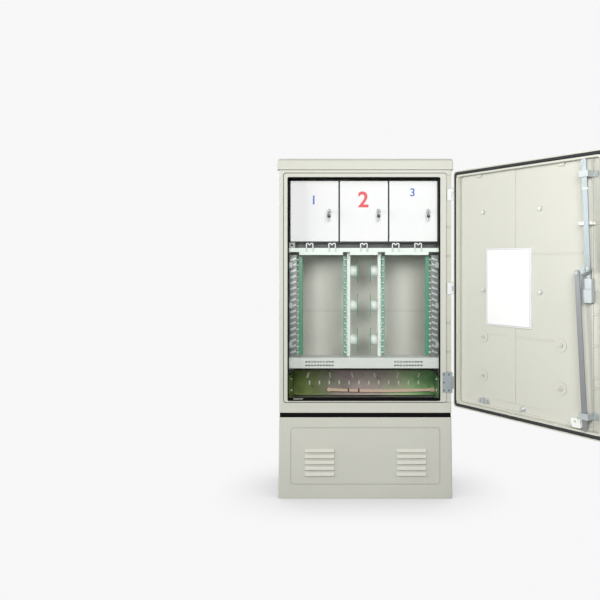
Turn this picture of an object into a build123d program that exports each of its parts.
"""A roadside cross-connect cabinet for optical fibre, moulded from glass-fibre plastic.

Millimetres, +Z up, front towards -Y. The origin is at the centre of the plinth's base. The main door and
all that it carries are drawn closed and then swung open about the hinge pins by door_open_angle.
"""
from build123d import *
import os
from math import atan2, cos, degrees, hypot, radians, sin

# Overall size and the moulded shell
overall_height = 1450.0
cap_width = 750.0
cap_depth = 320.0
cap_height = 43.0
cap_overhang = 7.0
cap_rim = 14.0
cap_corner = 14.0
drip_depth = 4.0
shell_wall = 5.0
plinth_height = 345.0
plinth_flare = 4.0
band_height = 20.0
band_inset = 2.0
band_width = 34.0
frame_depth = 36.0
jamb_left = 37.0
jamb_right = 49.0
head_height = 37.0
sill_height = 55.0
edge_round = 6.0
flange_width = 20.0
fit_gap = 0.3
running_clearance = 0.05

body_width = cap_width - 2 * cap_overhang
body_depth = cap_depth - 2 * cap_overhang
half_width = body_width / 2
front_y = -body_depth / 2
back_y = body_depth / 2
frame_back = front_y + frame_depth
body_base = plinth_height + band_height
body_top = overall_height - cap_height
open_x0 = -half_width + jamb_left
open_x1 = half_width - jamb_right
open_z0 = body_base + sill_height
open_z1 = body_top - head_height
centre_x = (open_x0 + open_x1) / 2
wall_x0 = -half_width + shell_wall
wall_x1 = half_width - shell_wall
wall_back = back_y - shell_wall

# Plinth details
plinth_flange = 60.0
anchor_spacing_x = 640.0
anchor_spacing_y = 220.0
anchor_hole_radius = 8.0
louvre_count = 5
louvre_pitch = 25.0
louvre_length = 126.0
louvre_height = 14.0
louvre_proud = 7.0
louvre_slot = 6.0
louvre_offset = 196.0
louvre_top_z = 222.0
emboss_line = 4.0
emboss_depth = 1.5
emboss_margin = 48.0
emboss_corner = 17.0

# Seal groove and hinge channel on the front frame
groove_width = 3.5
groove_depth = 3.0
groove_inset_side = 17.0
groove_inset_top = 17.0
groove_inset_bottom = 42.0
channel_width = 23.0
channel_end = 12.0
channel_ribs_z = (624.0, 748.0, 1034.0, 1158.0)
channel_rib_height = 5.0

# Floor and its cable entries
floor_thickness = 6.0
entry_radius = 26.0
entry_offsets = (-195.0, -65.0, 65.0, 195.0)
entry_y = 10.0
grommet_wall = 5.0
grommet_lip = 4.0
grommet_height = 16.0

# Steel mounting rails inside the side walls
equipment_half = open_x1 / 2 - open_x0 / 2 + 2.0
rail_depth = 30.0
rail_sheet = 2.5
rail_front_y = front_y + 43.0
rail_rear_y = wall_back - 18.0 - rail_depth
rail_top_gap = 5.0
rail_z0 = body_base + floor_thickness

# Upper compartments and their doors
sheet = 1.5
small_door_width = 207.0
small_door_gap = 7.0
small_door_height = 261.0
small_door_base = 1098.0
small_door_front = front_y + 40.0
small_door_depth = 12.0
small_door_corner = 3.0
compartment_margin = 4.0
compartment_depth = 190.0
keeper_lap = 8.0
slots_per_tier = 7
slot_margin = 10.0
divider_depth = 60.0
divider_setback = 11.0
pivot_radius = 2.5
pivot_inset = 4.5
pivot_length = 9.0
pivot_tab = 16.0

# Locks of the small doors
lock_inset = 40.0
lock_barrel_radius = 8.0
lock_flange_radius = 10.5
lock_flange = 2.0
lock_tongue_length = 38.0
lock_tongue_width = 13.0
lock_tongue_thickness = 2.0
lock_tongue_gap = 3.0
lock_stem = 3.5
key_thickness = 2.0
key_shank = 8.0
key_blade = 7.0
key_head = 18.0
key_hole_radius = 2.8
key_hole_margin = 2.5
key_ring_radius = 7.5
key_ring_wire = 0.9
spare_key_blade = 14.0

# Cable rail below the compartments
rail_bar_top = 1069.0
rail_bar_height = 17.0
rail_bar_front = front_y + 30.0
rail_bar_depth = 74.0
rail_bar_sheet = 2.0
rail_lip_height = 13.0
ring_offsets = (-234.0, -137.0, 0.0, 137.0, 234.0)
ring_half_width = 16.0
ring_rise = 20.0
ring_dip = 9.0
ring_shoulder = 5.5
ring_bar = 4.0
tie_plate_width = 28.0
tie_plate_hole = 5.0

# Splice columns: steel uprights, green tray holders and white centre posts
column_front = front_y + 72.0
column_depth = 58.0
column_base = 597.0
column_top = 1039.0
tray_count = 17
tray_pitch = 25.3
upright_outer = 325.0
upright_width = 32.0
upright_ear_height = 24.0
upright_ears_z = (649.0, 820.0, 995.0)
upright_slat_height = 9.0
upright_slat_proud = 7.0
upright_slat_tilt = 20.0
outer_holder_width = 24.0
holder_band = 17.0
holder_depth = 32.0
holder_tooth_height = 11.0
holder_tooth_proud = 13.0
post_inner = 60.0
post_width = 14.0
inner_holder_width = 17.0
inner_band = 11.0

# Spools between the centre posts
spool_rows_z = (666.0, 817.5, 969.0)
spool_hub_radius = 25.5
spool_hub_length = 30.0
spool_flange_radius = 52.0
spool_flange_thickness = 3.0
spool_setback = 34.0

# Shelf under the columns
shelf_z = 552.0
shelf_front = front_y + 30.0
shelf_depth = 256.0
shelf_sheet = 2.0
shelf_flange = 15.0
vent_rows_y = (62.0, 167.0)
vent_slots = 8
vent_pitch = 16.0
vent_slot_length = 11.0
vent_slot_width = 5.0
vent_offset = 196.0

# Cable fixing plate, its clamps and the earth strap
fixing_base = 391.0
fixing_height = 116.0
fixing_y = rail_rear_y + 8.0
fixing_lip = 16.0
fixing_wing = 205.0
wing_screw_setback = 129.0
wing_screws_z = (436.0, 486.0)
clamp_offsets = (-260.0, -157.0, -55.0, 49.0, 157.0, 255.0)
clamp_tilts = (18.0, -8.0, -16.0, -8.0, 16.0, 18.0)
clamp_z = 484.0
clamp_height = 26.0
clamp_width = 9.0
clamp_standoff = 5.0
clamp_bolt_radius = 4.3
clamp_tongue = 3.0
bolt_count = 12
bolt_pitch = 46.0
bolt_z = 449.0
bolt_height = 18.0
bolt_width = 7.0
bolt_radius = 3.3
strap_left = -154.0
strap_right = 316.0
strap_z = 417.0
strap_height = 12.0
strap_thickness = 5.0
strap_sag = 5.0
strap_standoff = 8.0
lug_radius = 9.0
strap_ties_x = (-72.0, -24.0)

# Main door
door_open_angle = 126.7
door_gap = 5.0
door_thickness = 22.0
door_top_gap = 14.0
door_bottom_gap = 30.0
door_corner = 10.0
gasket_inset = 5.0
gasket_width = 13.0
gasket_depth = 3.0
lip_inset = 18.5
lip_width = 7.0
lip_height = 3.0
pocket_corner = 12.0
field_margin = 62.0
field_proud = 2.0
boss_radius = 9.0
boss_height = 5.0
boss_pad_radius = 24.0
boss_pad_height = 2.0
bosses = ((144.0, 1211.0), (144.0, 894.0), (144.0, 705.0), (144.0, 548.0),
          (431.0, 1208.0), (431.0, 895.0), (524.0, 705.0), (524.0, 549.0))
padded_below = 720.0
screw_radius = 4.5
screw_head = 3.0
rib_width = 5.0
rib_height = 1.5
centre_band = (266.0, 313.0)
upper_rib = (394.0, 617.0, 1039.0)
lower_rib = (135.0, 491.0, 718.0)
channel_wall_u = 656.0
channel_steps_z = (572.0, 607.0, 717.0, 826.0, 1140.0)
recess_u = (143.0, 457.0)
recess_z = (429.0, 459.0)
recess_depth = 1.5
tab_u = (123.0, 528.0)
tab_width = 24.0
tab_height = 12.0
sleeve_u = (163.0, 390.0)
sleeve_z = (754.0, 1062.0)
sleeve_thickness = 3.0
sleeve_wall = 0.8
stud_u = 348.0
stud_z = 445.0
stud_radius = 7.0
stud_height = 14.0
clip_u = (122.0, 174.0)
clip_z = (436.0, 452.0)
clip_height = 9.0

# Main door hinges
hinge_offset_x = 5.5
hinge_offset_y = 8.0
hinge_z = (494.0, 896.0, 1296.0)
hinge_height = 50.0
hinge_sheet = 2.5
knuckle_radius = 5.0
knuckle_middle = 20.0
knuckle_gap = 0.4
hinge_pin_radius = 2.5
hinge_pin_head = 3.0
leaf_width = 18.0
lower_leaf_width = 38.0
lower_leaf_height = 88.0
leaf_clearance = 2.0

# Three-point lock
cam_u = 636.0
cam_z = 978.0
cam_arm = 24.0
cam_end = 10.0
cam_thickness = 4.0
cam_rest_angle = 20.0
cam_travel = 70.0
cam_pin_radius = 4.0
cam_pin_head = 6.5
spindle_radius = 7.0
rod_plane = front_y + 7.3
rod_width = 20.0
rod_thickness = 4.0
rod_tip_gap = 4.0
guide_u = 644.0
guide_z = (474.0, 1312.0)
guide_height = 22.0
guide_side = 5.0
guide_wall = 3.0
guide_foot = 16.0
keeper_side = 5.0
case_u = (620.0, 666.0)
case_z = (866.0, 950.0)
case_height = 22.0
bearing_radius = 15.0
handle_length = 120.0
handle_width = 24.0
handle_thickness = 12.0
handle_standoff = 26.0
escutcheon_radius = 28.0
escutcheon_height = 4.0
block_u = (581.0, 636.0)
block_z = (432.0, 458.0)
block_height = 22.0
block_lobe = 4.5
block_lobe_top = 26.0

hinge_x = half_width + hinge_offset_x
hinge_y = front_y - hinge_offset_y
rim_y = front_y - door_gap
door_outer_y = rim_y - door_thickness
door_floor_y = door_outer_y + shell_wall
door_x0 = -half_width
door_x1 = hinge_x - knuckle_radius - leaf_clearance
door_z0 = body_base + door_bottom_gap
door_z1 = body_top - door_top_gap
pocket_inset = lip_inset + lip_width
gasket_x = door_x1 - gasket_inset - gasket_width / 2
cam_x = gasket_x - cam_u
guide_x = gasket_x - guide_u
compartment_front = small_door_front + small_door_depth + 1.8
compartment_z0 = small_door_base - compartment_margin
compartment_z1 = small_door_base + small_door_height + compartment_margin
compartment_y1 = compartment_front + compartment_depth
compartment_pitch = small_door_width + small_door_gap
equipment_x0 = centre_x - equipment_half
equipment_x1 = centre_x + equipment_half


def block(x0, x1, y0, y1, z0, z1):
    """A box between its low and high corners."""
    return Pos((x0 + x1) / 2, (y0 + y1) / 2, (z0 + z1) / 2) * Box(x1 - x0, y1 - y0, z1 - z0)


def bar_x(radius, x0, x1, y, z):
    """A round bar along X."""
    return Pos((x0 + x1) / 2, y, z) * Rot(0, 90, 0) * Cylinder(radius, abs(x1 - x0))


def bar_y(radius, x, y0, y1, z):
    """A round bar along Y."""
    return Pos(x, (y0 + y1) / 2, z) * Rot(90, 0, 0) * Cylinder(radius, abs(y1 - y0))


def sided_bar_y(sides, radius, x, y0, y1, z):
    """A many-sided bar along Y, for heads and bosses."""
    return Pos(x, (y0 + y1) / 2, z) * Rot(90, 0, 0) * extrude(RegularPolygon(radius, sides), (y1 - y0) / 2, both=True)


def sided_bar_x(sides, radius, x0, x1, y, z):
    """A many-sided bar along X."""
    return Pos((x0 + x1) / 2, y, z) * Rot(0, 90, 0) * extrude(RegularPolygon(radius, sides), abs(x1 - x0) / 2, both=True)


def bar_z(radius, x, y, z0, z1):
    """A round bar along Z."""
    return Pos(x, y, (z0 + z1) / 2) * Cylinder(radius, abs(z1 - z0))


def front_plate(x0, x1, z0, z1, y0, y1, corner):
    """A plate that faces the front, with rounded corners."""
    sketch = RectangleRounded(x1 - x0, z1 - z0, corner)
    return Pos((x0 + x1) / 2, (y0 + y1) / 2, (z0 + z1) / 2) * Rot(90, 0, 0) * extrude(
        sketch, (y1 - y0) / 2, both=True)


def front_ring(x0, x1, z0, z1, y0, y1, width, corner):
    """A rounded rectangular ring that faces the front; width runs inwards."""
    outer = front_plate(x0, x1, z0, z1, y0, y1, corner)
    inner_corner = max(corner - width, 1.0)
    return outer - front_plate(x0 + width, x1 - width, z0 + width, z1 - width, y0 - 1, y1 + 1, inner_corner)


def opened(shape):
    """A piece of the closed main door, swung to where it stands open."""
    return Pos(hinge_x, hinge_y, 0) * Rot(0, 0, door_open_angle) * Pos(-hinge_x, -hinge_y, 0) * shape


def mirrored(shape):
    """The same piece on the other side of the equipment's centre plane."""
    return mirror(shape, about=Plane(origin=(centre_x, 0, 0), z_dir=(1, 0, 0)))


def behind_frame(shape):
    """Equipment that is wider than the opening, trimmed where the door frame stands in front of its ends."""
    reach = frame_back + 1
    for x0, x1 in ((wall_x0, open_x0 + 1), (open_x1 - 1, wall_x1)):
        shape -= block(x0, x1, front_y, reach, body_base, body_top)
    return shape


def plinth():
    """The moulded plinth: flared walls, inward flanges, embossed frame and louvres on front and back."""
    lean = degrees(atan2(plinth_flare, plinth_height))
    skin = extrude(Rectangle(body_width + 2 * plinth_flare, body_depth + 2 * plinth_flare), plinth_height, taper=lean)
    skin = fillet(skin.edges().filter_by(lambda e: abs((e % 0.5).Z) > 0.9), edge_round)
    grow = 2 * plinth_flare - 2 * shell_wall
    cavity = extrude(Rectangle(body_width + grow, body_depth + grow), plinth_height, taper=lean)
    lower = block(-half_width, half_width, front_y, back_y, -1, shell_wall)
    upper = block(-half_width, half_width, front_y, back_y, plinth_height - shell_wall, plinth_height + 1)
    way = block(-half_width + plinth_flange, half_width - plinth_flange, front_y + plinth_flange,
                back_y - plinth_flange, -2, plinth_height + 2)
    body = skin - (cavity - lower - upper) - way
    for sx in (-1, 1):
        for sy in (-1, 1):
            body -= bar_z(anchor_hole_radius, sx * anchor_spacing_x / 2, sy * anchor_spacing_y / 2, -1, shell_wall + 1)
    for turn in (0, 180):
        face = Rot(0, 0, turn) * Pos(0, front_y - plinth_flare, 0) * Rot(-lean, 0, 0)
        emboss = front_ring(-half_width + emboss_margin, half_width - emboss_margin, emboss_margin + 11,
                            plinth_height - emboss_margin + 6, -1, emboss_depth, emboss_line, emboss_corner)
        body -= face * emboss
        for side in (-1, 1):
            for k in range(louvre_count):
                centre = side * louvre_offset
                low = louvre_top_z - (k + 1) * louvre_pitch
                half = louvre_length / 2
                body -= face * block(centre - half, centre + half, -1, shell_wall + 1, low, low + louvre_slot)
                hood = Plane.YZ * make_face(Polyline((shell_wall / 2, low + louvre_height), (0, low + louvre_height),
                                                     (-louvre_proud, low + 1), (-louvre_proud + 2, low),
                                                     (shell_wall / 2, low + louvre_slot + 3), close=True))
                body += face * Pos(centre, 0, 0) * extrude(hood, half, both=True)
    return body


def seal_band():
    """The dark sealing band between the plinth and the shell."""
    x = half_width - band_inset
    y = back_y - band_inset
    ring = block(-x, x, -y, y, plinth_height, body_base)
    ring = fillet(ring.edges().filter_by(Axis.Z), edge_round)
    return ring - block(-x + band_width, x - band_width, -y + band_width, y - band_width,
                        plinth_height - 1, body_base + 1)


def front_frame():
    """The moulded door frame, a channel section open at the back, with seal groove, hinge seats and keepers."""
    outer = block(-half_width, half_width, front_y, frame_back, body_base, body_top)
    corners = outer.edges().filter_by(Axis.Z).sort_by(Axis.Y)[:2]
    frame = fillet(corners, edge_round)
    frame -= block(open_x0, open_x1, front_y - 1, frame_back + 1, open_z0, open_z1)
    hollow = block(wall_x0, wall_x1, front_y + shell_wall, frame_back + 1,
                   body_base + shell_wall, body_top - shell_wall)
    hollow -= block(open_x0 - shell_wall, open_x1 + shell_wall, front_y, frame_back + 2,
                    open_z0 - shell_wall, open_z1 + shell_wall)
    frame -= hollow
    frame -= front_ring(-half_width + groove_inset_side, half_width - channel_width + groove_width,
                        body_base + groove_inset_bottom, body_top - groove_inset_top,
                        front_y - 1, front_y + groove_depth, groove_width, pocket_corner)
    channel = block(half_width - channel_width, half_width + 1, front_y - 1, front_y + hinge_sheet,
                    door_z0 + channel_end, door_z1 - channel_end)
    for z in channel_ribs_z:
        channel -= block(half_width - channel_width + groove_width, half_width + 2, front_y - 2, front_y + 5,
                         z - channel_rib_height / 2, z + channel_rib_height / 2)
    frame -= channel
    seat = lower_leaf_height / 2 + fit_gap
    frame -= block(half_width - lower_leaf_width - fit_gap, half_width + 1, front_y - 1, front_y + hinge_sheet,
                   hinge_z[0] - seat, hinge_z[0] + seat)
    slot = rod_width / 2 + keeper_side
    for z in (open_z0, open_z1):
        frame -= block(guide_x - 1 - slot, guide_x - 1 + slot, rod_plane - 2.3, rod_plane + rod_thickness + 2.3,
                       z - shell_wall - 1, z + shell_wall + 1)
    return frame


def side_panel(side):
    """A side wall with inward flanges at its ends and a shallow embossed field outside."""
    panel = block(-half_width, wall_x0, frame_back, wall_back, body_base, body_top)
    panel += block(wall_x0 - 1, wall_x0 + flange_width, frame_back, frame_back + shell_wall,
                   rail_z0 + 2, body_top)
    panel += block(wall_x0 - 1, wall_x0 + flange_width, wall_back - shell_wall, wall_back, rail_z0 + 2, body_top)
    middle = (frame_back + wall_back) / 2
    reach = (wall_back - frame_back) / 2 - emboss_margin / 2
    sketch = RectangleRounded(2 * reach, body_top - body_base - 3 * emboss_margin, emboss_corner)
    groove = sketch - RectangleRounded(2 * (reach - emboss_line),
                                       body_top - body_base - 3 * emboss_margin - 2 * emboss_line,
                                       emboss_corner - emboss_line)
    tool = Pos(-half_width, middle, (body_base + body_top) / 2) * Rot(0, 90, 0) * Rot(0, 0, 90) * extrude(
        groove, emboss_depth, both=True)
    panel -= tool
    if side > 0:
        return mirror(panel, about=Plane.YZ)
    return panel


def back_panel():
    """The back wall with a shallow embossed frame outside and a faint seam rib inside."""
    panel = block(-half_width, half_width, wall_back, back_y, body_base, body_top)
    panel = fillet(panel.edges().filter_by(Axis.Z).sort_by(Axis.Y)[-2:], edge_round * 0.7)
    panel -= front_ring(-half_width + emboss_margin, half_width - emboss_margin, body_base + emboss_margin,
                        body_top - emboss_margin, back_y - emboss_depth, back_y + 1, emboss_line, emboss_corner)
    seam = block(equipment_x0, equipment_x1, wall_back - rib_height, wall_back, shelf_z + 225, shelf_z + 229)
    return panel + seam


def top_cover():
    """The moulded cap: a hollow shell with a gently sloped roof, resting on the walls by its wide rim."""
    outline = RectangleRounded(cap_width, cap_depth, edge_round)
    cap = Pos(0, 0, body_top) * extrude(outline, cap_height)
    upper = cap.edges().filter_by(lambda e: e.center().Z > overall_height - 0.1)
    cap = fillet(upper, cap_corner)
    inner = block(-cap_width / 2 + cap_rim, cap_width / 2 - cap_rim, -cap_depth / 2 + cap_rim,
                  cap_depth / 2 - cap_rim, body_top - 1, overall_height - shell_wall)
    cap -= inner
    drip = Pos(0, 0, body_top - drip_depth) * extrude(outline, drip_depth)
    drip -= block(-half_width - 1, half_width + 1, front_y - 1, back_y + 1, body_top - drip_depth - 1, body_top + 1)
    return cap + drip


def floor_plate():
    """The floor with its round cable entries."""
    floor = block(wall_x0, wall_x1, frame_back, wall_back, body_base, rail_z0)
    for dx in entry_offsets:
        floor -= bar_z(entry_radius, centre_x + dx, entry_y, body_base - 1, rail_z0 + 1)
    return floor


def cable_grommets():
    """Rubber grommets that line the cable entries, each with a flange above the floor and a sleeve below."""
    rings = []
    for dx in entry_offsets:
        x = centre_x + dx
        ring = bar_z(entry_radius, x, entry_y, rail_z0 - grommet_height, rail_z0)
        ring += bar_z(entry_radius + grommet_lip, x, entry_y, rail_z0, rail_z0 + grommet_lip)
        ring -= bar_z(entry_radius - grommet_wall, x, entry_y, body_base - grommet_height, rail_z0 + grommet_height)
        rings.append(ring)
    return rings


def mounting_rails():
    """Four upright steel channels on the floor against the side walls, which carry the equipment."""
    rails = []
    top = body_top - rail_top_gap
    for y in (rail_front_y, rail_rear_y):
        for x0, x1, web in ((wall_x0, equipment_x0, 1), (equipment_x1, wall_x1, -1)):
            rail = block(x0, x1, y, y + rail_depth, rail_z0, top)
            inner0 = x0 - 1 if web > 0 else x0 + rail_sheet
            inner1 = x1 - rail_sheet if web > 0 else x1 + 1
            rail -= block(inner0, inner1, y + rail_sheet, y + rail_depth - rail_sheet, rail_z0 - 1, top + 1)
            rails.append(rail)
    return rails


def compartment_frame():
    """Three compartments side by side, folded and welded from sheet, open at the front and the back."""
    x0, x1 = equipment_x0, equipment_x1
    y0, y1 = compartment_front, compartment_y1
    z0, z1 = compartment_z0, compartment_z1
    frame = block(x0, x1, y0, y1, z0, z1) - block(x0 + sheet, x1 - sheet, y0 - 1, y1 + 1, z0 + sheet, z1 - sheet)
    half_pitch = compartment_pitch / 2
    walls = (centre_x - half_pitch + sheet / 2, centre_x + half_pitch + sheet / 2, x1)
    for k, wall in zip((-1, 0, 1), walls, strict=True):
        keeper = centre_x + k * compartment_pitch + small_door_width / 2 - keeper_lap
        frame += block(wall - sheet, wall, y0, y1, z0 + sheet / 2, z1 - sheet / 2)
        frame += block(keeper, wall, y0, y0 + sheet, z0 + sheet / 2, z1 - sheet / 2)
    for k in (-1, 0, 1):
        x = centre_x + k * compartment_pitch - small_door_width / 2 + pivot_inset
        for low in (z0, z1 - sheet):
            frame += block(x - pivot_tab / 4, x + pivot_tab * 0.75, small_door_front + 1, y0 + 1, low, low + sheet)
    return frame


def pivot_y():
    """Where the small doors' pivots stand, in the middle of their edge."""
    return small_door_front + small_door_depth / 2


def compartment_bays():
    """The clear width of each compartment, from its left wall to its right wall."""
    half_pitch = compartment_pitch / 2
    left = centre_x - half_pitch
    right = centre_x + half_pitch
    return ((equipment_x0 + sheet, left - sheet / 2), (left + sheet / 2, right - sheet / 2),
            (right + sheet / 2, equipment_x1 - sheet))


def tier_shelves():
    """A middle shelf in each compartment."""
    middle = (compartment_z0 + compartment_z1) / 2
    return [block(x0, x1, compartment_front + divider_setback, compartment_y1, middle - sheet / 2, middle + sheet / 2)
            for x0, x1 in compartment_bays()]


def slot_dividers():
    """Upright guide plates that part each tier into slots for plug-in modules."""
    plates = []
    middle = (compartment_z0 + compartment_z1) / 2
    y0 = compartment_front + divider_setback
    tiers = ((compartment_z0 + sheet, middle - sheet / 2), (middle + sheet / 2, compartment_z1 - sheet))
    for x0, x1 in compartment_bays():
        pitch = (x1 - x0 - 2 * slot_margin) / slots_per_tier
        for z0, z1 in tiers:
            for k in range(1, slots_per_tier):
                x = x0 + slot_margin + k * pitch
                plates.append(block(x - sheet / 2, x + sheet / 2, y0, y0 + divider_depth, z0, z1))
    return plates


def small_door(k):
    """A folded sheet door with returns on all four edges, pivot holes and a lock hole."""
    x0 = centre_x + k * compartment_pitch - small_door_width / 2
    x1 = x0 + small_door_width
    z0 = small_door_base
    z1 = z0 + small_door_height
    y1 = small_door_front + small_door_depth
    door = block(x0, x1, small_door_front, y1, z0, z1)
    door = fillet(door.edges().filter_by(Axis.Y), small_door_corner)
    door -= block(x0 + sheet, x1 - sheet, small_door_front + sheet, y1 + 1, z0 + sheet, z1 - sheet)
    x = x0 + pivot_inset
    for low in (z0 + sheet / 2, z1 - pivot_length - sheet / 2):
        half = pivot_radius + sheet
        door += block(x - half, x + half, pivot_y() - half, pivot_y() + half, low, low + pivot_length)
    door -= bar_z(pivot_radius + running_clearance, x, pivot_y(), z0 - 1, z0 + sheet + pivot_length + 1)
    door -= bar_z(pivot_radius + running_clearance, x, pivot_y(), z1 - sheet - pivot_length - 1, z1 + 1)
    door -= bar_y(lock_barrel_radius + running_clearance, lock_x(k), small_door_front - 1, y1, lock_z())
    return door


def lock_x(k):
    """The lock's place across a small door."""
    return centre_x + k * compartment_pitch + small_door_width / 2 - lock_inset


def lock_z():
    """The locks sit at the middle of the small doors' height."""
    return small_door_base + small_door_height / 2


def pivot_pins():
    """Six short pins, welded to the compartment frame's tabs, which the small doors turn on."""
    pins = []
    for k in (-1, 0, 1):
        x = centre_x + k * compartment_pitch - small_door_width / 2 + pivot_inset
        for z0, z1 in ((compartment_z0 + sheet, small_door_base + pivot_length),
                       (small_door_base + small_door_height - pivot_length, compartment_z1 - sheet)):
            pins.append(bar_z(pivot_radius, x, pivot_y(), z0, z1))
    return pins


def small_lock(k):
    """A cam lock with its key in it: flange, barrel, tongue hanging down, key shank and head."""
    x, z = lock_x(k), lock_z()
    face = small_door_front
    tongue_y = compartment_front + sheet + lock_tongue_gap
    tongue_back = tongue_y + lock_tongue_thickness
    lock = bar_y(lock_flange_radius, x, face - fit_gap - lock_flange, face - fit_gap, z)
    lock += bar_y(lock_barrel_radius, x, face - lock_flange, tongue_y + lock_stem, z)
    half = lock_tongue_width / 2
    lock += block(x - half, x + half, tongue_y, tongue_back, z - lock_tongue_length + half, z)
    lock += sided_bar_y(12, half, x, tongue_y, tongue_back, z - lock_tongue_length + half)
    outer = face - fit_gap - lock_flange
    thick = key_thickness / 2
    blade = key_blade / 2
    lock += block(x - thick, x + thick, outer - key_shank, outer + 1, z - blade, z + blade)
    head_y = outer - key_shank - key_head / 2
    head = bar_x(key_head / 2 + 1, x - thick, x + thick, head_y, z)
    head -= bar_x(key_hole_radius, x - thick - 1, x + thick + 1, ring_hole_y(), z)
    return lock + head


def ring_seat():
    """How far a ring or a key hangs below the middle of the hole that carries it."""
    return key_hole_radius - key_ring_wire - fit_gap


def ring_hole_y():
    """The hole in a key's head, near its far edge."""
    outer = small_door_front - fit_gap - lock_flange
    return outer - key_shank - key_head + key_hole_radius + key_hole_margin


def key_ring(k):
    """A split ring through the key's head, with the spare key hanging from it."""
    x, z = lock_x(k), lock_z()
    y = ring_hole_y()
    centre = z - ring_seat() - key_ring_radius
    ring = bar_y(key_ring_radius + key_ring_wire, x, y - key_ring_wire, y + key_ring_wire, centre)
    ring -= bar_y(key_ring_radius - key_ring_wire, x, y - 2 * key_ring_wire, y + 2 * key_ring_wire, centre)
    thick = key_thickness / 2
    hole_z = centre - key_ring_radius - ring_seat()
    head_z = hole_z - key_head / 2 + key_hole_radius + key_hole_margin
    spare = bar_x(key_head / 2, x - thick, x + thick, y, head_z)
    blade = key_blade / 2
    spare += block(x - thick, x + thick, y - blade, y + blade, head_z - key_head / 2 - spare_key_blade, head_z)
    spare -= bar_x(key_hole_radius, x - thick - 1, x + thick + 1, y, hole_z)
    return [ring, spare]


def cable_rail():
    """The folded cross rail: front web, top shelf, lips below in three spans, end plates and a tie plate."""
    x0, x1 = equipment_x0, equipment_x1
    y0 = rail_bar_front
    y1 = y0 + rail_bar_depth
    base = rail_bar_top - rail_bar_height
    t = rail_bar_sheet
    rail = block(x0, x1, y0, y0 + t, base, rail_bar_top)
    rail += block(x0, x1, y0, y1, rail_bar_top - t, rail_bar_top)
    spans = ((-upright_outer + upright_width + outer_holder_width - 10, -post_inner - post_width - inner_holder_width),
             (-post_inner, post_inner),
             (post_inner + post_width + inner_holder_width, upright_outer - upright_width - outer_holder_width + 10))
    for low, high in spans:
        rail += block(centre_x + low, centre_x + high, y0, y0 + t, base - rail_lip_height, base + 1)
        rail += block(centre_x + low, centre_x + high, y0, y0 + 9, base - rail_lip_height, base - rail_lip_height + t)
    for x in (x0, x1 - t):
        rail += block(x, x + t, y0, y1, base - t, rail_bar_top)
    tie = block(x0 + t, x0 + t + tie_plate_width, y0 + t, y0 + 2 * t, rail_bar_top - 1, compartment_z0 - 2)
    tie -= bar_y(tie_plate_hole, x0 + t + tie_plate_width / 2, y0, y0 + 3 * t, rail_bar_top + 12)
    return behind_frame(rail) + tie


def cable_rings():
    """Five M-shaped guide rings that stand on the rail's front."""
    top = rail_bar_top + ring_rise
    base = rail_bar_top - rail_bar_height + 3
    w = ring_half_width - ring_bar / 2
    points = ((-w, base), (-w, top), (-ring_shoulder, top), (0, top - ring_dip), (ring_shoulder, top), (w, top),
              (w, base))
    rings = []
    for dx in ring_offsets:
        band = trace(Polyline(*points), ring_bar)
        solid = Pos(centre_x + dx, rail_bar_front - ring_bar, 0) * Rot(90, 0, 0) * extrude(band, -ring_bar)
        rings.append(solid)
    return rings


def tray_heights():
    """The middle of each tray place, from the lowest up."""
    middle = (column_base + column_top) / 2
    first = middle - (tray_count - 1) / 2 * tray_pitch
    return [first + k * tray_pitch for k in range(tray_count)]


def splice_upright():
    """The left steel upright: a folded plate with a slanted slat for each tray, and ears to the mounting rail."""
    x0 = centre_x - upright_outer
    x1 = x0 + upright_width
    plate = block(x0, x1, column_front, column_front + 2, column_base, column_top)
    plate += block(x0, x0 + 2, column_front, column_front + column_depth, column_base, column_top)
    slat = Rot(0, -upright_slat_tilt, 0) * Box(upright_width * 0.86, upright_slat_proud * 2, upright_slat_height)
    for z in tray_heights():
        plate += Pos((x0 + x1) / 2, column_front, z) * slat
    for z in upright_ears_z:
        low = z - upright_ear_height / 2
        plate += block(equipment_x0, x0 + 1, rail_front_y + 4, column_front + 22, low, low + upright_ear_height)
        plate += block(equipment_x0, x0 + 14, rail_front_y + 4, rail_front_y + 6, low, low + upright_ear_height)
    return plate


def tray_holder(x_inner, x_outer, x_band0, x_band1):
    """A green holder strip with one sloping tooth for each tray."""
    half = (tray_count * tray_pitch) / 2
    middle = (column_base + column_top) / 2
    y0 = column_front + 2
    strip = block(x_band0, x_band1, y0, y0 + holder_depth, middle - half, middle + half)
    y_tip = column_front - holder_tooth_proud
    for z in tray_heights():
        low = z - holder_tooth_height / 2
        tooth = Plane.YZ * make_face(Polyline((y0 + 8, low), (y_tip, low + 3), (y_tip, low + 6),
                                              (y0 + 8, low + holder_tooth_height), close=True))
        width = x_outer - x_inner
        strip += Pos((x_inner + x_outer) / 2, 0, 0) * extrude(tooth, width / 2, both=True)
    return strip


def outer_holder():
    """The tray holder beside the left steel upright."""
    x0 = centre_x - upright_outer + upright_width
    x1 = x0 + outer_holder_width
    return tray_holder(x0, x1 - holder_band + 3, x1 - holder_band, x1)


def inner_holder():
    """The tray holder beside the left centre post."""
    x1 = centre_x - post_inner - post_width
    x0 = x1 - inner_holder_width
    return tray_holder(x0 + 4, x1, x0, x0 + inner_band)


def centre_post():
    """The left white centre post, a channel that hangs from the rail's top shelf."""
    x0 = centre_x - post_inner - post_width
    x1 = x0 + post_width
    y1 = column_front + column_depth
    top = rail_bar_top - rail_bar_sheet
    post = block(x0, x1, column_front, y1, column_base, column_top + rail_lip_height)
    post += block(x0, x1, column_front, rail_bar_front + rail_bar_depth, column_top + rail_lip_height - 1, top)
    return post - block(x0 + 2, x1 - 2, column_front + 2, y1 + 1, column_base - 1, top - 2)


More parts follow.
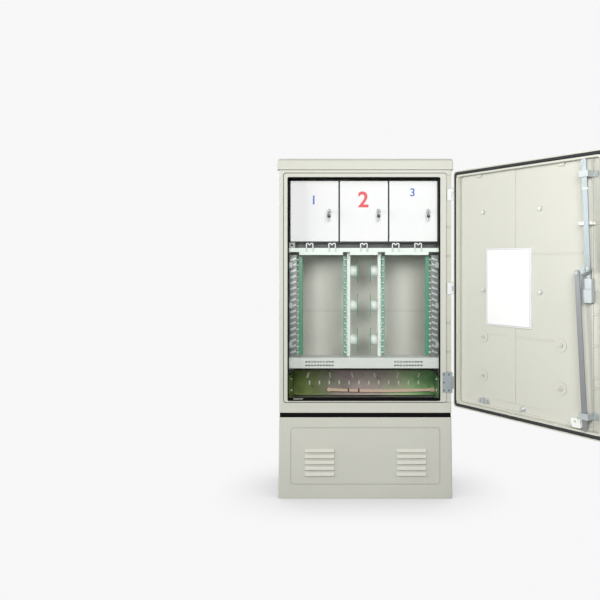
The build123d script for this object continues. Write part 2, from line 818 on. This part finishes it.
def spool_hubs():
    """White hubs on the inner sides of the centre posts, two in each row."""
    y = column_front + spool_setback
    hubs = []
    for z in spool_rows_z:
        for side in (-1, 1):
            face = centre_x + side * post_inner
            hubs.append(sided_bar_x(20, spool_hub_radius, face, face - side * spool_hub_length, y, z))
    return hubs


def spool_flanges():
    """Green round flanges that end the hubs."""
    y = column_front + spool_setback
    flanges = []
    for z in spool_rows_z:
        for side in (-1, 1):
            face = centre_x + side * (post_inner - spool_hub_length)
            flanges.append(sided_bar_x(28, spool_flange_radius, face, face - side * spool_flange_thickness, y, z))
    return flanges


def bottom_shelf():
    """The folded shelf below the columns, with rows of vent slots."""
    x0, x1 = equipment_x0, equipment_x1
    y0 = shelf_front
    y1 = y0 + shelf_depth
    low = shelf_z - shelf_flange
    shelf = block(x0, x1, y0, y1, shelf_z - shelf_sheet, shelf_z)
    shelf += block(x0, x1, y1 - shelf_sheet, y1, low, shelf_z)
    for x in (x0, x1 - shelf_sheet):
        shelf += block(x, x + shelf_sheet, y0, y1, low, shelf_z)
    slot = Box(vent_slot_length, vent_slot_width, 3 * shelf_sheet)
    for side in (-1, 1):
        for row in vent_rows_y:
            for k in range(vent_slots):
                x = centre_x + side * vent_offset + (k - (vent_slots - 1) / 2) * vent_pitch
                shelf -= Pos(x, shelf_front + row, shelf_z - shelf_sheet / 2) * slot
    return behind_frame(shelf)


def fixing_plate():
    """The zinc-plated plate that incoming cables are clamped to, folded at its top and ends."""
    x0, x1 = equipment_x0, equipment_x1
    y = fixing_y
    top = fixing_base + fixing_height
    plate = block(x0, x1, y, y + 2, fixing_base, top)
    plate += block(x0, x1, y - fixing_lip, y + 2, top - 2, top)
    plate += block(x0, x1, y - fixing_lip / 2, y + 2, fixing_base, fixing_base + 2)
    for x in (x0, x1 - 2):
        plate += block(x, x + 2, y - fixing_wing, y + 12, fixing_base, top)
    return plate


def cable_clamps():
    """Six clamp tongues above a row of fixing bolts, each on its stud in the plate."""
    pieces = []
    face = fixing_y
    for dx, tilt in zip(clamp_offsets, clamp_tilts, strict=True):
        x = centre_x + dx
        tongue = Rot(0, tilt, 0) * Box(clamp_width, clamp_tongue, clamp_height)
        tongue = Pos(x, face - clamp_standoff - clamp_tongue / 2, clamp_z) * tongue
        pieces.append(tongue + sided_bar_y(6, clamp_bolt_radius, x, face - clamp_standoff - 6, face, clamp_z))
    return pieces


def clamp_bolts():
    """The lower row of clamp bolts and the screws in the plate's wings."""
    pieces = []
    face = fixing_y
    for k in range(bolt_count):
        x = centre_x + (k - (bolt_count - 1) / 2) * bolt_pitch
        wing = Pos(x, face - clamp_standoff - clamp_tongue / 2, bolt_z) * Box(bolt_width, clamp_tongue, bolt_height)
        pieces.append(wing + sided_bar_y(6, bolt_radius, x, face - clamp_standoff - 5, face, bolt_z))
    for side in (-1, 1):
        wing = centre_x + side * (equipment_half - 2)
        for z in wing_screws_z:
            pieces.append(sided_bar_x(6, 5, wing, wing - side * 4, face - wing_screw_setback, z))
    return pieces


def earth_strap():
    """The copper earth strap, sagging between its two lugs."""
    x0 = centre_x + strap_left
    x1 = centre_x + strap_right
    middle = (x0 + x1) / 2
    h = strap_height / 2
    upper = ThreePointArc((x0, strap_z + h), (middle, strap_z + h - strap_sag), (x1, strap_z + h))
    lower = ThreePointArc((x1, strap_z - h), (middle, strap_z - h - strap_sag), (x0, strap_z - h))
    band = make_face([upper, Line(upper @ 1, lower @ 0), lower, Line(lower @ 1, upper @ 0)])
    y = fixing_y - strap_standoff
    return Pos(0, y, 0) * Rot(90, 0, 0) * extrude(band, strap_thickness)


def strap_drop(x):
    """How far the strap hangs below its ends at a place along it."""
    middle = centre_x + (strap_left + strap_right) / 2
    share = (x - middle) / ((strap_right - strap_left) / 2)
    return strap_sag * (1 - share ** 2)


def strap_lugs():
    """The strap's lugs: the left one bolted to the plate, the right one to the plate's wing."""
    y = fixing_y - strap_standoff
    left = centre_x + strap_left - lug_radius + 1
    lug = bar_y(lug_radius, left, y - strap_thickness, y, strap_z)
    lug += bar_y(5, left, y - strap_thickness - 4, fixing_y, strap_z)
    x0 = centre_x + strap_right - 5
    wing = equipment_x1 - 2
    foot = block(x0, wing, y - strap_thickness - 2, y + 2, strap_z - lug_radius, strap_z + lug_radius)
    foot += block(wing - 2, wing, y - 3 * lug_radius, y + 2, strap_z - lug_radius, strap_z + lug_radius)
    foot += bar_x(5, wing - 6, wing, y - 2 * lug_radius, strap_z)
    return [lug - earth_strap(), foot - earth_strap()]


def strap_ties():
    """Two dark ties round the strap."""
    ties = []
    y = fixing_y - strap_standoff
    for dx in strap_ties_x:
        x = centre_x + dx
        z = strap_z - strap_drop(x)
        tie = block(x - 3, x + 3, y - strap_thickness - 1.5, fixing_y, z - strap_height / 2 - 2,
                    z + strap_height / 2 + 2)
        ties.append(tie - block(x - 5, x + 5, y - strap_thickness, y, z - strap_height / 2 - 0.4,
                                z + strap_height / 2 + 0.4))
    return ties


def frame_leaf(z, width, height):
    """One frame leaf: a flush plate, an arm round the door's edge, and the two outer knuckles."""
    low = z - hinge_height / 2
    leaf = block(half_width - width, hinge_x - 1, front_y, front_y + hinge_sheet, z - height / 2, z + height / 2)
    arm_x = hinge_x - hinge_sheet - 1
    arm = block(arm_x, hinge_x - 1, hinge_y, front_y + hinge_sheet, low, low + hinge_height)
    barrel = bar_z(knuckle_radius, hinge_x, hinge_y, low, low + hinge_height)
    half = knuckle_middle / 2 + knuckle_gap
    reach = knuckle_radius + 1
    gap = block(hinge_x - reach, hinge_x + reach, hinge_y - reach, hinge_y + reach, z - half, z + half)
    leaf = leaf + arm + barrel - gap
    return leaf - bar_z(hinge_pin_radius + running_clearance, hinge_x, hinge_y, low - 1, low + hinge_height + 1)


def door_leaf(z):
    """One door leaf, drawn closed: a plate on the door's edge and the middle knuckle."""
    half = knuckle_middle / 2
    low = z - hinge_height / 2
    plate_y = hinge_y - knuckle_radius - 1.5
    leaf = block(door_x1, door_x1 + hinge_sheet, door_outer_y + 4, plate_y, low, low + hinge_height)
    leaf += block(door_x1, hinge_x - 1, plate_y - 3, plate_y + 3, z - half, z + half)
    leaf += block(hinge_x - knuckle_radius, hinge_x - 1, plate_y, hinge_y, z - half, z + half)
    leaf += bar_z(knuckle_radius, hinge_x, hinge_y, z - half, z + half)
    return leaf - bar_z(hinge_pin_radius + running_clearance, hinge_x, hinge_y, low, low + hinge_height)


def hinge_pins():
    """The three headed hinge pins."""
    pins = []
    for z in hinge_z:
        top = z + hinge_height / 2
        pin = bar_z(hinge_pin_radius, hinge_x, hinge_y, z - hinge_height / 2, top + hinge_pin_head)
        head = extrude(RegularPolygon(knuckle_radius - 0.6, 8), hinge_pin_head)
        pins.append(pin + Pos(hinge_x, hinge_y, top) * head)
    return pins


def door_face(u0, u1, z0, z1, height, corner=0.0):
    """A raised piece on the door's inner floor, placed by its distance from the hinge-side gasket."""
    x0 = gasket_x - u1
    x1 = gasket_x - u0
    if corner:
        return front_plate(x0, x1, z0, z1, door_floor_y - 1, door_floor_y + height, corner)
    return block(x0, x1, door_floor_y - 1, door_floor_y + height, z0, z1)


def door_panel():
    """The moulded main door: a shallow pan with a gasket groove, a raised inner lip, ribs and bosses."""
    door = front_plate(door_x0, door_x1, door_z0, door_z1, door_outer_y, rim_y, door_corner)
    door = fillet(door.faces().sort_by(Axis.Y)[0].edges(), edge_round)
    inset = pocket_inset
    x0, x1 = door_x0 + inset, door_x1 - inset
    z0, z1 = door_z0 + inset, door_z1 - inset
    door -= front_plate(x0, x1, z0, z1, door_floor_y, rim_y + 1, pocket_corner)
    door -= front_ring(door_x0 + gasket_inset, door_x1 - gasket_inset, door_z0 + gasket_inset,
                       door_z1 - gasket_inset, rim_y - gasket_depth, rim_y + 1, gasket_width, pocket_corner)
    door += front_ring(door_x0 + lip_inset, door_x1 - lip_inset, door_z0 + lip_inset, door_z1 - lip_inset,
                       rim_y - 1, rim_y + lip_height, lip_width, pocket_corner + lip_width)
    door += front_plate(door_x0 + field_margin, door_x1 - field_margin, door_z0 + field_margin,
                        door_z1 - field_margin, door_outer_y - field_proud, door_outer_y + 1, emboss_corner)
    door += door_face(*centre_band, z0 - 1, z1 + 1, rib_height)
    for u0, u1, z in (upper_rib, lower_rib):
        door += door_face(u0, u1, z - rib_width / 2, z + rib_width / 2, rib_height)
    wall_u = channel_wall_u
    end_u = gasket_x - x0 + 1
    door += door_face(wall_u - rib_width / 2, wall_u + rib_width / 2, z0 - 1, z1 + 1, 2 * rib_height)
    for z in channel_steps_z:
        door += door_face(wall_u, end_u, z - rib_width / 2, z + rib_width / 2, 2 * rib_height)
    for u, z in bosses:
        x = gasket_x - u
        if z < padded_below:
            door += sided_bar_y(20, boss_pad_radius, x, door_floor_y - 1, door_floor_y + boss_pad_height, z)
        door += sided_bar_y(12, boss_radius, x, door_floor_y - 1, door_floor_y + boss_height, z)
    for u in tab_u:
        door += door_face(u - tab_width / 2, u + tab_width / 2, z1 - tab_height, z1 + 1, boss_height)
    door -= block(gasket_x - recess_u[1], gasket_x - recess_u[0], door_floor_y - recess_depth, door_floor_y + 10,
                  recess_z[0], recess_z[1])
    return door - bar_y(spindle_radius + 1, cam_x, door_outer_y - 5, door_floor_y + 5, cam_z)


def door_gasket():
    """The rubber gasket, seated in the door's groove and standing proud of the rim."""
    g = running_clearance
    return front_ring(door_x0 + gasket_inset + g, door_x1 - gasket_inset - g, door_z0 + gasket_inset + g,
                      door_z1 - gasket_inset - g, rim_y - gasket_depth, front_y - fit_gap,
                      gasket_width - 2 * g, pocket_corner)


def door_screws():
    """Eight pan-head screws on the door's bosses."""
    y = door_floor_y + boss_height
    screws = []
    for u, z in bosses:
        head = sided_bar_y(10, screw_radius, gasket_x - u, y, y + screw_head, z)
        screws.append(head - block(gasket_x - u - 0.7, gasket_x - u + 0.7, y + screw_head - 1.2, y + screw_head + 1,
                                   z - screw_radius, z + screw_radius))
    return screws


def document_sleeve():
    """The flat sleeve for the route card, open at its top."""
    y0 = door_floor_y + rib_height
    x0 = gasket_x - sleeve_u[1]
    x1 = gasket_x - sleeve_u[0]
    sleeve = front_plate(x0, x1, sleeve_z[0], sleeve_z[1], y0, y0 + sleeve_thickness, 2.0)
    sleeve -= block(x0 + 3, x1 - 3, y0 + sleeve_wall, y0 + sleeve_thickness - sleeve_wall, sleeve_z[0] + 3,
                    sleeve_z[1] + 1)
    back = block(x0, gasket_x - centre_band[1], door_floor_y, y0, sleeve_z[0], sleeve_z[1])
    return sleeve + back


def stay_stud():
    """The stud in the door's lower recess: washer, neck and head."""
    y = door_floor_y - recess_depth
    x = gasket_x - stud_u
    stud = bar_y(stud_radius + 4, x, y, y + 2, stud_z)
    stud += bar_y(stud_radius - 3, x, y, y + stud_height, stud_z)
    return stud + bar_y(stud_radius, x, y + stud_height - 4, y + stud_height, stud_z)


def stay_clip():
    """The dark spring clip at the door's lower hinge side."""
    x0 = gasket_x - clip_u[1]
    x1 = gasket_x - clip_u[0]
    y = door_floor_y
    middle = gasket_x - recess_u[0]
    clip = block(x0, x1, y, y + 3, clip_z[0], clip_z[1])
    clip += block(x0, middle, y - recess_depth, y + 1, clip_z[0], clip_z[1])
    for x in (x0 + 6, x0 + 24, x0 + 42):
        clip += block(x, x + 4, y + 1, y + clip_height, clip_z[0], clip_z[1])
    return clip


def lower_block():
    """The white plastic buffer at the door's lower lock corner."""
    x0 = gasket_x - block_u[1]
    x1 = gasket_x - block_u[0]
    y = door_floor_y
    piece = front_plate(x0, x1, block_z[0], block_z[1], y, y + block_height, 5.0)
    lip_top = rim_y + lip_height + fit_gap
    piece += block(x0 + 12, x1 - 8, lip_top, y + block_lobe_top, block_z[0] - block_lobe, block_z[1] - 3)
    return piece - bar_y(4, x1 - 20, y + block_height / 2, y + block_lobe_top + 1, block_z[0] + 16)


def rod_guide(z):
    """One rod guide: a folded bridge on the door's floor with a window that the rod runs through."""
    inner = rod_width / 2 + guide_side
    outer = inner + guide_wall
    y1 = rod_plane + rod_thickness + 1.5
    low = z - guide_height / 2
    guide = block(guide_x - outer, guide_x + outer, door_floor_y, y1 + guide_wall, low, low + guide_height)
    guide -= block(guide_x - inner, guide_x + inner, rod_plane - 1.5, y1, low - 1, low + guide_height + 1)
    guide -= block(guide_x - inner, guide_x + inner, door_floor_y - 1, rod_plane - 1.5 - guide_wall, low - 1,
                   low + guide_height + 1)
    for x0 in (guide_x - outer - guide_foot, guide_x + outer - 1):
        guide += block(x0, x0 + guide_foot + 1, door_floor_y, door_floor_y + guide_wall, low, low + guide_height)
    return guide


def lock_case():
    """The lock's cast case with the bearing boss that carries the spindle."""
    y = door_floor_y
    x0 = gasket_x - case_u[1]
    x1 = gasket_x - case_u[0]
    split = case_z[0] + (case_z[1] - case_z[0]) * 0.55
    case = block(x0, x1, y, y + case_height, case_z[0], split)
    case = fillet(case.edges().filter_by(Axis.Y), 4)
    case += block(x0 + 4, x1 - 1, y, y + case_height - 5, split - 1, case_z[1])
    case += block(cam_x - bearing_radius, cam_x + bearing_radius, y, y + 8, case_z[1] - 1, cam_z)
    case += bar_y(bearing_radius, cam_x, y, cam_back() - fit_gap, cam_z)
    channel_x = gasket_x - channel_wall_u
    case -= block(x0 - 1, channel_x + rib_width / 2, y - 1, y + 2 * rib_height, case_z[0] - 1, case_z[1] + 1)
    return case - bar_y(spindle_radius + running_clearance, cam_x, y - 1, cam_back() + 1, cam_z)


def cam_back():
    """The cam plate's face on the door's side."""
    return rod_plane - fit_gap - cam_thickness


def cam_pin(side, angle):
    """A cam pin's place; side +1 is the upper rod's pin."""
    turn = radians(angle)
    return cam_x - side * cam_arm * cos(turn), cam_z + side * cam_arm * sin(turn)


def lock_cam():
    """The lock cam with its spindle and two rod pins."""
    y0 = cam_back()
    y1 = y0 + cam_thickness
    ux, uz = cam_pin(1, cam_rest_angle)
    lx, lz = cam_pin(-1, cam_rest_angle)
    angle = degrees(atan2(uz - lz, ux - lx))
    plate = Pos(cam_x, (y0 + y1) / 2, cam_z) * Rot(0, -angle, 0) * Rot(90, 0, 0) * extrude(
        SlotOverall(2 * (cam_arm + cam_end), 2 * cam_end), cam_thickness / 2, both=True)
    cam = plate + bar_y(spindle_radius, cam_x, handle_root(), y1 + 5, cam_z)
    cam += sided_bar_y(16, spindle_radius + 4, cam_x, y1 - 1, y1 + 3, cam_z)
    for x, z in ((ux, uz), (lx, lz)):
        cam += bar_y(cam_pin_radius, x, y0, y1 + fit_gap + rod_thickness + fit_gap + 2, z)
        head_y = y1 + rod_thickness + 2 * fit_gap
        cam += sided_bar_y(12, cam_pin_head, x, head_y, head_y + 2, z)
    return cam


def handle_root():
    """The outer end of the spindle, inside the handle's hub."""
    return door_outer_y - field_proud - handle_standoff


def door_handle():
    """The plain turning handle outside: a round hub on the spindle and a lever."""
    face = door_outer_y - field_proud - escutcheon_height
    y0 = handle_root() - handle_thickness
    angle = -cam_rest_angle
    lever = extrude(Pos(handle_length / 2 - handle_width / 2, 0) * SlotOverall(handle_length, handle_width),
                    handle_thickness)
    lever = Pos(cam_x, handle_root(), cam_z) * Rot(0, -angle, 0) * Rot(90, 0, 0) * lever
    hub = bar_y(handle_width / 2 + 3, cam_x, y0, face - fit_gap, cam_z)
    return lever + hub - bar_y(spindle_radius, cam_x, handle_root(), face + 1, cam_z)


def handle_escutcheon():
    """The round cover plate behind the handle."""
    face = door_outer_y - field_proud
    plate = bar_y(escutcheon_radius, cam_x, face - escutcheon_height, face, cam_z)
    return plate - bar_y(spindle_radius + 0.5, cam_x, face - 10, face + 1, cam_z)


def lock_rod(side):
    """A flat lock rod from its cam pin to its tip; side +1 is the upper rod."""
    px, pz = cam_pin(side, cam_rest_angle)
    gz = guide_z[1] if side > 0 else guide_z[0]
    tip_z = open_z1 - rod_tip_gap if side > 0 else open_z0 + rod_tip_gap
    run = (tip_z - pz) / (gz - pz)
    tx = px + (guide_x - px) * run
    length = hypot(tx - px, tip_z - pz)
    lean = degrees(atan2(tx - px, tip_z - pz))
    half = rod_width / 2
    taper = rod_width * 0.3
    eye = Circle(half)
    outline = make_face(Polyline((-half, 0), (-half, length - taper), (-half + taper, length),
                                 (half - taper, length), (half, length - taper), (half, 0), close=True))
    flat = outline + eye - Circle(cam_pin_radius + running_clearance)
    rod = Pos(px, rod_plane, pz) * Rot(0, lean, 0) * Rot(90, 0, 0) * extrude(flat, -rod_thickness)
    return rod


cabinet = {
    "plinth": plinth(),
    "seal_band": seal_band(),
    "front_frame": front_frame(),
    "side_panel_left": side_panel(-1),
    "side_panel_right": side_panel(1),
    "back_panel": back_panel(),
    "top_cover": top_cover(),
    "floor_plate": floor_plate(),
    "cable_grommets": cable_grommets(),
    "mounting_rails": mounting_rails(),
    "compartment_frame": compartment_frame(),
    "tier_shelves": tier_shelves(),
    "slot_dividers": slot_dividers(),
    "pivot_pins": pivot_pins(),
    "cable_rail": cable_rail(),
    "cable_rings": cable_rings(),
    "splice_upright_left": splice_upright(),
    "splice_upright_right": mirrored(splice_upright()),
    "tray_holder_1": outer_holder(),
    "tray_holder_2": inner_holder(),
    "tray_holder_3": mirrored(inner_holder()),
    "tray_holder_4": mirrored(outer_holder()),
    "centre_post_left": centre_post(),
    "centre_post_right": mirrored(centre_post()),
    "spool_hubs": spool_hubs(),
    "spool_flanges": spool_flanges(),
    "bottom_shelf": bottom_shelf(),
    "fixing_plate": fixing_plate(),
    "cable_clamps": cable_clamps(),
    "clamp_bolts": clamp_bolts(),
    "earth_strap": earth_strap(),
    "strap_lugs": strap_lugs(),
    "strap_ties": strap_ties(),
    "frame_hinge_lower": frame_leaf(hinge_z[0], lower_leaf_width, lower_leaf_height),
    "frame_hinges_upper": [frame_leaf(z, leaf_width, hinge_height) for z in hinge_z[1:]],
    "hinge_pins": hinge_pins(),
}
for number, place in enumerate((-1, 0, 1), start=1):
    cabinet[f"small_door_{number}"] = small_door(place)
    cabinet[f"small_lock_{number}"] = small_lock(place)
    cabinet[f"key_ring_{number}"] = key_ring(place)

main_door = {
    "door_panel": door_panel(),
    "door_gasket": door_gasket(),
    "door_hinges": [door_leaf(z) for z in hinge_z],
    "door_screws": door_screws(),
    "document_sleeve": document_sleeve(),
    "stay_stud": stay_stud(),
    "stay_clip": stay_clip(),
    "lower_block": lower_block(),
    "rod_guides": [rod_guide(z) for z in guide_z],
    "lock_case": lock_case(),
    "handle_escutcheon": handle_escutcheon(),
    "door_handle": door_handle(),
    "lock_cam": lock_cam(),
    "upper_rod": lock_rod(1),
    "lower_rod": lock_rod(-1),
}

os.makedirs("parts", exist_ok=True)
for name, shape in cabinet.items():
    export_step(Compound(shape) if isinstance(shape, list) else shape, f"parts/{name}.step")
for name, shape in main_door.items():
    pieces = shape if isinstance(shape, list) else [shape]
    export_step(Compound([opened(piece) for piece in pieces]), f"parts/{name}.step")
